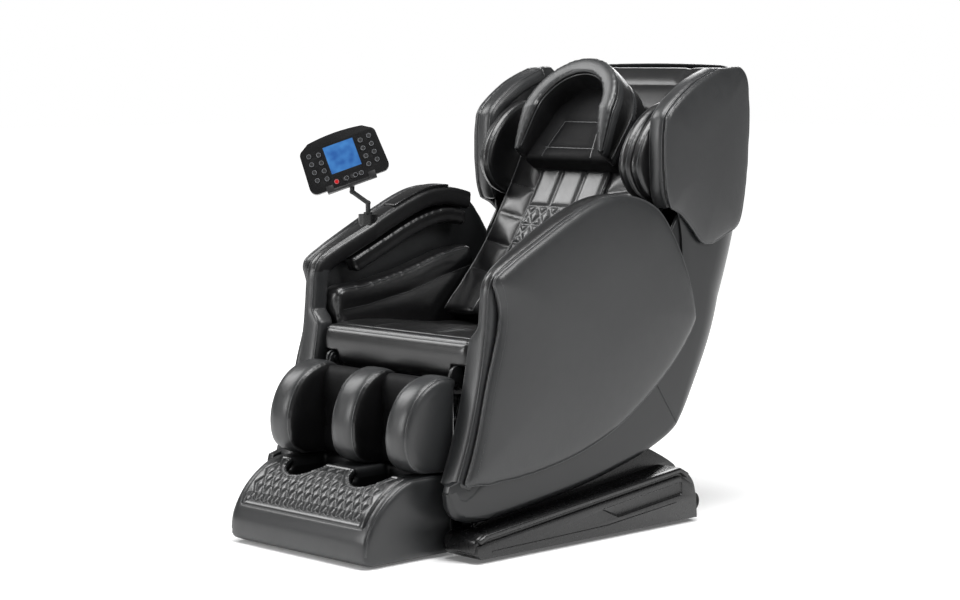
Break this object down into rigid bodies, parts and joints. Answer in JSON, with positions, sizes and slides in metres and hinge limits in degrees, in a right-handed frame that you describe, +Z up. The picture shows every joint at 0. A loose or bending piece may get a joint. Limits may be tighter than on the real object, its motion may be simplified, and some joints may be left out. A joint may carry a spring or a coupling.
{
  "type": "massage chair",
  "caption": "Reclining massage chair with armrest side panels, head wings, lifting leg rest with foot box and a tablet remote, on a moulded base.",
  "frame": {"origin": "on the floor, under the tilt mechanism, on the chair's symmetry plane; the rubber feet's undersides lie at z = 0", "axes": "+Z up, the sitter faces -Y, +X to the sitter's left"},
  "size_m": [0.7687, 1.2734, 1.1404],
  "materials": {
    "pu_leather_grey": "satin grained PU leather",
    "pu_leather_black": "satin grained PU leather",
    "quilted_leather": "quilted PU leather",
    "gloss_shell": "moulded ABS, satin gloss lacquer",
    "base_plastic": "moulded ABS, fine texture",
    "frame_steel": "black powder coat",
    "bright_steel": "ground",
    "rubber": "moulded",
    "roller_polyurethane": "cast polyurethane",
    "arm_nylon": "glass-filled nylon",
    "aluminium_casting": "as cast",
    "remote_case": "moulded",
    "key_caps": "moulded",
    "key_red": "moulded",
    "screen_glass": "lit display"
  },
  "bodies": {
    "base": {"base_frame": "frame_steel", "base_cover_left": "base_plastic", "base_cover_right": "base_plastic", "base_rear_cover": "base_plastic", "power_inlet": "base_plastic", "rubber_feet": "rubber"},
    "power_switch": {"power_rocker": "key_red"},
    "wheel_left": {"transport_wheel_left": "rubber"},
    "wheel_right": {"transport_wheel_right": "rubber"},
    "tilt_motor": {"tilt_actuator": "base_plastic"},
    "tilt_rod": {"tilt_actuator_rod": "bright_steel"},
    "chair": {"seat_frame": "frame_steel", "seat_pad": "pu_leather_black", "seat_apron": "pu_leather_black", "side_skirts": "gloss_shell", "back_shell": "gloss_shell", "waist_panels": "gloss_shell", "arm_panel_left": "pu_leather_grey", "arm_panel_right": "pu_leather_grey", "arm_front_left": "pu_leather_grey", "arm_front_right": "pu_leather_grey", "arm_rail_left": "pu_leather_grey", "arm_rail_right": "pu_leather_grey", "forearm_bags": "pu_leather_black", "arm_pad_left": "pu_leather_black", "arm_pad_right": "pu_leather_black", "wing_panel_left": "pu_leather_grey", "wing_panel_right": "pu_leather_grey", "wing_rims": "pu_leather_grey", "shoulder_bags": "pu_leather_grey", "back_frame": "frame_steel", "head_lining": "pu_leather_black", "back_pad": "pu_leather_black", "back_overlay": "quilted_leather", "head_pillow": "pu_leather_black", "legrest_actuator": "base_plastic", "holder_base": "base_plastic", "arm_dock": "base_plastic"},
    "carriage": {"massage_carriage": "aluminium_casting"},
    "kneader_left": {"massage_arm_left": "arm_nylon"},
    "kneader_right": {"massage_arm_right": "arm_nylon"},
    "upper_roller_left": {"roller_upper_left": "roller_polyurethane"},
    "upper_roller_right": {"roller_upper_right": "roller_polyurethane"},
    "lower_roller_left": {"roller_lower_left": "roller_polyurethane"},
    "lower_roller_right": {"roller_lower_right": "roller_polyurethane"},
    "legrest_rod": {"legrest_actuator_rod": "bright_steel"},
    "legrest": {"legrest_frame": "frame_steel", "calf_pad_left": "pu_leather_grey", "calf_pad_right": "pu_leather_grey", "calf_divider": "pu_leather_grey"},
    "footrest": {"foot_box": "pu_leather_grey", "foot_quilt": "quilted_leather"},
    "holder": {"holder_stem": "base_plastic"},
    "cradle": {"tablet_cradle": "base_plastic"},
    "remote": {"tablet_case": "remote_case", "tablet_screen": "screen_glass"},
    "key_group_left": {"keys_left": "key_caps"},
    "key_group_right": {"keys_right": "key_caps"},
    "key_group_lower": {"keys_lower": "key_caps"},
    "key_power": {"power_key": "key_red"}
  },
  "joints": [
    {"name": "body_tilt", "type": "hinge", "parent": "base", "child": "chair", "pos_m": [0, 0.24, 0.23], "axis": [-1, 0, 0], "range_deg": [0, 20]},
    {"name": "tilt_actuator_swing", "type": "hinge", "parent": "base", "child": "tilt_motor", "pos_m": [0, 0.096, 0.092], "axis": [-1, 0, 0], "range_deg": [0, 16.99]},
    {"name": "tilt_actuator_stroke", "type": "slide", "parent": "tilt_motor", "child": "tilt_rod", "axis": [0, -0.6394, 0.7689], "range_m": [0, 0.0677]},
    {"name": "legrest_lift", "type": "hinge", "parent": "chair", "child": "legrest", "pos_m": [0, -0.268, 0.412], "axis": [-1, 0, 0], "range_deg": [0, 80]},
    {"name": "legrest_actuator_stroke", "type": "slide", "parent": "chair", "child": "legrest_rod", "axis": [0, -1, 0], "range_m": [0, 0.1029]},
    {"name": "footrest_extend", "type": "slide", "parent": "legrest", "child": "footrest", "axis": [0, 0, -1], "range_m": [0, 0.1], "stiffness_N_per_m": 2200, "springref_m": -0.1},
    {"name": "carriage_travel", "type": "slide", "parent": "chair", "child": "carriage", "axis": [0, 0.5547, 0.8321], "range_m": [0, 0.28]},
    {"name": "tap_left", "type": "hinge", "parent": "carriage", "child": "kneader_left", "pos_m": [0.04, 0.29062, 0.52296], "axis": [1, 0, 0], "range_deg": [-6, 6]},
    {"name": "tap_right", "type": "hinge", "parent": "carriage", "child": "kneader_right", "pos_m": [-0.04, 0.29062, 0.52296], "axis": [1, 0, 0], "range_deg": [-6, 6]},
    {"name": "upper_roller_left_spin", "type": "hinge", "parent": "kneader_left", "child": "upper_roller_left", "pos_m": [0.055, 0.3056, 0.57066], "axis": [1, 0, 0], "continuous": true},
    {"name": "upper_roller_right_spin", "type": "hinge", "parent": "kneader_right", "child": "upper_roller_right", "pos_m": [-0.055, 0.3056, 0.57066], "axis": [1, 0, 0], "continuous": true},
    {"name": "lower_roller_left_spin", "type": "hinge", "parent": "kneader_left", "child": "lower_roller_left", "pos_m": [0.055, 0.25234, 0.49079], "axis": [1, 0, 0], "continuous": true},
    {"name": "lower_roller_right_spin", "type": "hinge", "parent": "kneader_right", "child": "lower_roller_right", "pos_m": [-0.055, 0.25234, 0.49079], "axis": [1, 0, 0], "continuous": true},
    {"name": "wheel_left_spin", "type": "hinge", "parent": "base", "child": "wheel_left", "pos_m": [0.316, 0.44, 0.038], "axis": [1, 0, 0], "continuous": true},
    {"name": "wheel_right_spin", "type": "hinge", "parent": "base", "child": "wheel_right", "pos_m": [-0.316, 0.44, 0.038], "axis": [1, 0, 0], "continuous": true},
    {"name": "power_switch_rock", "type": "hinge", "parent": "base", "child": "power_switch", "pos_m": [0.142, 0.39, 0.062], "axis": [1, 0, 0], "range_deg": [0, 14]},
    {"name": "holder_swivel", "type": "hinge", "parent": "chair", "child": "holder", "pos_m": [-0.291, -0.085, 0.748], "axis": [0, 0, 1], "range_deg": [-45, 90]},
    {"name": "tablet_tilt", "type": "hinge", "parent": "holder", "child": "cradle", "pos_m": [-0.31809, -0.11305, 0.83], "axis": [0.6947, 0.7193, 0], "range_deg": [-20, 20]},
    {"name": "remote_lift", "type": "slide", "parent": "cradle", "child": "remote", "axis": [-0.3781, -0.1103, 0.9192], "range_m": [0, 0.14]},
    {"name": "keys_left_press", "type": "slide", "parent": "remote", "child": "key_group_left", "axis": [-0.7036, 0.6795, -0.2079], "range_m": [0, 0.001], "stiffness_N_per_m": 900, "springref_m": -0.002},
    {"name": "keys_right_press", "type": "slide", "parent": "remote", "child": "key_group_right", "axis": [-0.7036, 0.6795, -0.2079], "range_m": [0, 0.001], "stiffness_N_per_m": 900, "springref_m": -0.002},
    {"name": "keys_lower_press", "type": "slide", "parent": "remote", "child": "key_group_lower", "axis": [-0.7036, 0.6795, -0.2079], "range_m": [0, 0.001], "stiffness_N_per_m": 900, "springref_m": -0.002},
    {"name": "power_key_press", "type": "slide", "parent": "remote", "child": "key_power", "axis": [-0.7036, 0.6795, -0.2079], "range_m": [0, 0.001], "stiffness_N_per_m": 600, "springref_m": -0.002}
  ],
  "couplings": [
    {"joint": "tilt_actuator_swing", "follows": "body_tilt", "ratio": 0.84704},
    {"joint": "tilt_actuator_stroke", "follows": "body_tilt", "m_per_rad": 0.1938},
    {"joint": "legrest_actuator_stroke", "follows": "legrest_lift", "m_per_rad": 0.073658},
    {"joint": "tap_right", "follows": "tap_left", "ratio": -1}
  ]
}
